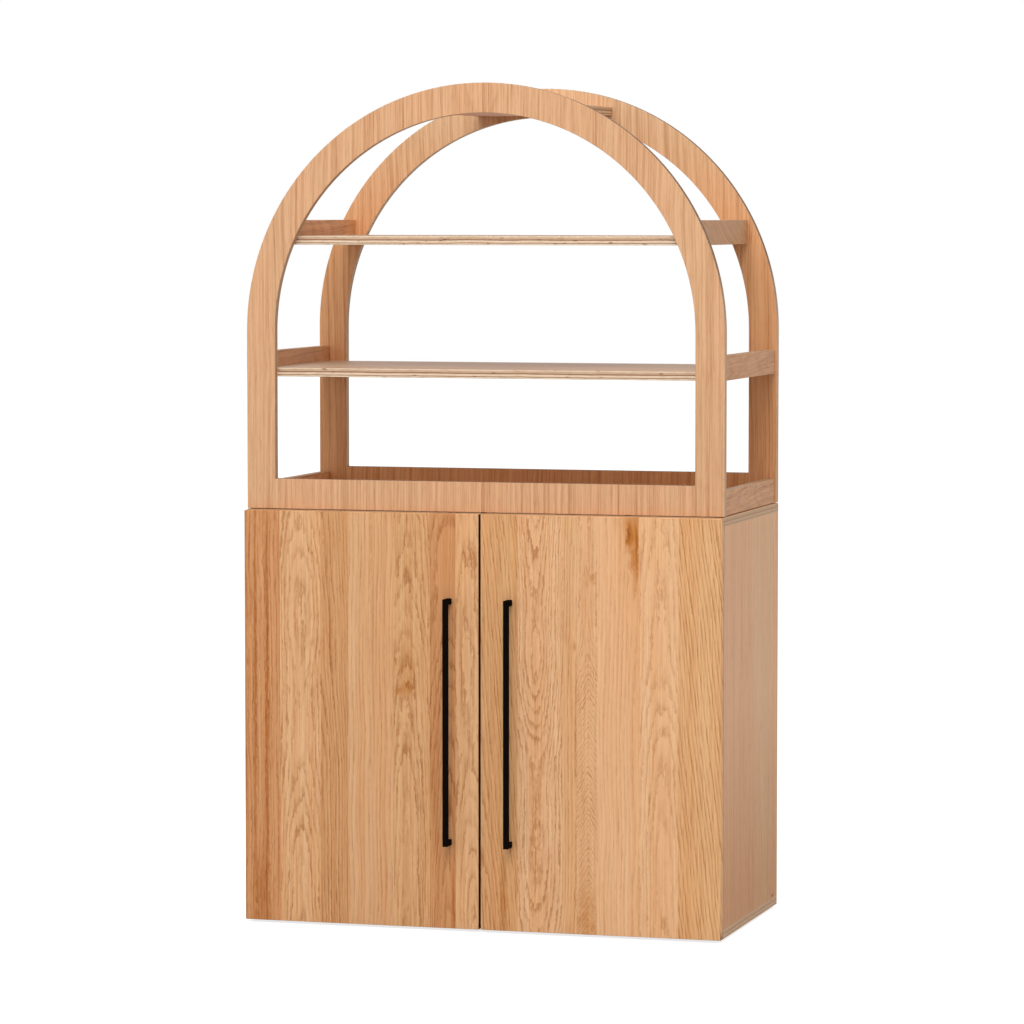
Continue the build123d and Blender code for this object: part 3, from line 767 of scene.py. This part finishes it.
def handle_bar(node, material):
    """A square bar handle on two feet, with softened edges."""
    low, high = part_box(node)
    side_view = [
        (high.y, low.z), (high.y, low.z + HANDLE_FOOT), (low.y + HANDLE_BAR, low.z + HANDLE_FOOT),
        (low.y + HANDLE_BAR, high.z - HANDLE_FOOT), (high.y, high.z - HANDLE_FOOT), (high.y, high.z),
        (low.y, high.z), (low.y, high.z - HANDLE_FOOT), (low.y, low.z + HANDLE_FOOT), (low.y, low.z),
    ]
    # The corners round the lower foot, the bar and the upper foot
    strips = [(0, 1, 2, 8, 9), (2, 3, 7, 8), (3, 4, 5, 6, 7)]

    def build(form):
        left = [form.verts.new((low.x, y, z)) for y, z in side_view]
        right = [form.verts.new((high.x, y, z)) for y, z in side_view]
        for strip in strips:
            form.faces.new([left[index] for index in strip])
            form.faces.new([right[index] for index in reversed(strip)])
        for index in range(len(side_view)):
            after = (index + 1) % len(side_view)
            form.faces.new((left[index], right[index], right[after], left[after]))

    piece_from(f"{node}_bar", node, build, material, HANDLE_EASED)


# Hutch
for node, look in (("front_arch", ARCH_VENEER), ("back_arch", BACK_ARCH_VENEER)):
    arch_sheet(node, veneered(node, UPRIGHT_FRONT, look))
for node in ("lower_shelf", "upper_shelf"):
    board(node, veneered(node, LYING_FLAT, SHELF_VENEER))
board("top_spreader", veneered("top_spreader", LYING_FLAT, RAIL_VENEER))
for rail in ("base_rail", "lower_rail", "upper_rail"):
    for side in ("left", "right"):
        node = f"{rail}_{side}"
        look = RIGHT_RAIL_VENEER if side == "right" else RAIL_VENEER
        # Painted shade on the upper right rail
        if node == "upper_rail_right":
            look = look._replace(tone=darker(look.tone, UPPER_RAIL_SHADE), lean=UPPER_RAIL_LEAN)
        board(node, veneered(node, LYING_SIDE, look))

# Cupboard
for node in ("top_panel", "bottom_panel", "inner_shelf"):
    paint_node(nodes[node], veneered(node, LYING_FLAT, CARCASS_VENEER))
for node in ("side_panel_left", "side_panel_right"):
    paint_node(nodes[node], veneered(node, UPRIGHT_SIDE, SIDE_VENEER, SIDE_SPOTS))
paint_node(nodes["back_panel"], veneered("back_panel", UPRIGHT_FRONT, BACK_VENEER))

# Doors and handles
black = black_coat()
for side, staves in (("left", LEFT_STAVES), ("right", RIGHT_STAVES)):
    door = f"door_{side}"
    paint_node(nodes[door], oak_staves(f"oak_staves_{side}", staves, door))
    handle_bar(f"handle_{side}", black)

# Hardware, by material
HARDWARE = [
    (plated_steel("hinge_steel", HINGE_STEEL), ("hinge_cups", "hinge_links", "hinge_arms", "hinge_plates")),
    (plated_steel("pin_steel", PIN_STEEL), ("hinge_cup_pins", "hinge_arm_pins", "shelf_pins")),
    (
        plated_steel("screw_steel", SCREW_STEEL),
        ("hinge_cup_screws", "hinge_plate_screws", "handle_screws", "hutch_screws"),
    ),
    (fine_grained("dowel_beech", BEECH), ("carcass_dowels", "hutch_dowels")),
    (fine_grained("soft_pad", SOFT_PAD), ("door_bumpers", "hutch_spacers")),
    (fine_grained("glide_plastic", GLIDE_PLASTIC), ("glides",)),
]
for material, names in HARDWARE:
    for name in names:
        for node in (name, f"{name}_left", f"{name}_right"):
            if node in nodes:
                paint_node(nodes[node], material)

# Surroundings: white to the camera and in reflections, soft plain light for everything else
FLOOR_SIZE = 60.0
FLOOR_MATTE = (0.45, 0.45, 0.45, 1.0)
FLOOR_GLOW = 0.78
WORLD_LIGHT = 0.70


def seen_rays(tree):
    """1 for rays that show the surroundings themselves, 0 for rays that only bring light."""
    path = tree.nodes.new("ShaderNodeLightPath")
    seen = path.outputs["Is Camera Ray"]
    for name in ("Is Glossy Ray", "Is Transmission Ray"):
        either = tree.nodes.new("ShaderNodeMath")
        either.operation = "MAXIMUM"
        tree.links.new(seen, either.inputs[0])
        tree.links.new(path.outputs[name], either.inputs[1])
        seen = either.outputs[0]
    return seen


def floor():
    """A plain floor that looks white and keeps a faint shadow of the cabinet."""
    mesh = bpy.data.meshes.new("floor")
    reach = FLOOR_SIZE / 2
    corners = [(-reach, -reach, 0.0), (reach, -reach, 0.0), (reach, reach, 0.0), (-reach, reach, 0.0)]
    mesh.from_pydata(corners, [], [(0, 1, 2, 3)])
    plane = bpy.data.objects.new("floor", mesh)
    bpy.context.scene.collection.objects.link(plane)
    material = bpy.data.materials.new("white_floor")
    material.use_nodes = True
    tree = material.node_tree
    tree.nodes.clear()
    matte = tree.nodes.new("ShaderNodeBsdfDiffuse")
    matte.inputs["Color"].default_value = FLOOR_MATTE
    glow = tree.nodes.new("ShaderNodeEmission")
    glow.inputs["Color"].default_value = WHITE
    level = tree.nodes.new("ShaderNodeMath")
    level.operation = "MULTIPLY"
    tree.links.new(seen_rays(tree), level.inputs[0])
    level.inputs[1].default_value = FLOOR_GLOW
    tree.links.new(level.outputs[0], glow.inputs["Strength"])
    both = tree.nodes.new("ShaderNodeAddShader")
    tree.links.new(matte.outputs[0], both.inputs[0])
    tree.links.new(glow.outputs[0], both.inputs[1])
    output = tree.nodes.new("ShaderNodeOutputMaterial")
    tree.links.new(both.outputs[0], output.inputs["Surface"])
    mesh.materials.append(material)


def world():
    """White behind everything, and a soft even light."""
    scene = bpy.context.scene
    scene.world = bpy.data.worlds.new("studio")
    scene.world.use_nodes = True
    tree = scene.world.node_tree
    tree.nodes.clear()
    level = tree.nodes.new("ShaderNodeMapRange")
    level.inputs["To Min"].default_value = WORLD_LIGHT
    level.inputs["To Max"].default_value = 1.0
    tree.links.new(seen_rays(tree), level.inputs["Value"])
    background = tree.nodes.new("ShaderNodeBackground")
    background.inputs["Color"].default_value = WHITE
    tree.links.new(level.outputs[0], background.inputs["Strength"])
    output = tree.nodes.new("ShaderNodeOutputWorld")
    tree.links.new(background.outputs[0], output.inputs["Surface"])


floor()
world()

# Lamps round the cabinet: degrees to the right of its front and upwards, size in metres, power in watts
Lamp = namedtuple("Lamp", "name turn rise size power")
LAMPS = [
    Lamp("key", 4.0, 44.0, 3.0, 185.0),
    Lamp("right", 95.0, 40.0, 2.4, 42.0),
    Lamp("left", -70.0, 22.0, 2.4, 20.0),
]
LAMP_DISTANCE = 5.5
LAMP_AIM = Vector((0.0, 0.0, 0.9))
for lamp in LAMPS:
    turn, rise = math.radians(lamp.turn), math.radians(lamp.rise)
    away = Vector((math.sin(turn) * math.cos(rise), -math.cos(turn) * math.cos(rise), math.sin(rise)))
    light = bpy.data.lights.new(lamp.name, "AREA")
    light.size = lamp.size
    light.energy = lamp.power
    holder = bpy.data.objects.new(lamp.name, light)
    holder.location = LAMP_AIM + LAMP_DISTANCE * away
    holder.rotation_euler = (-away).to_track_quat("-Z", "Y").to_euler()
    bpy.context.scene.collection.objects.link(holder)

# Camera at the photograph's viewpoint, in metres and radians, with its lens and sensor in millimetres
CAMERA_PLACE = (2.5605, -8.7979, 1.4470)
CAMERA_YAW = 0.28321
CAMERA_PITCH = -0.06656
CAMERA_LENS = 156.99
CAMERA_SENSOR = 36.0
camera = bpy.data.objects.new("camera", bpy.data.cameras.new("camera"))
camera.data.sensor_width = CAMERA_SENSOR
camera.data.lens = CAMERA_LENS
camera.location = CAMERA_PLACE
camera.rotation_euler = (math.pi / 2 + CAMERA_PITCH, 0.0, CAMERA_YAW)
bpy.context.scene.collection.objects.link(camera)
bpy.context.scene.camera = camera
bpy.context.scene.view_settings.view_transform = "Standard"

bpy.context.view_layer.update()
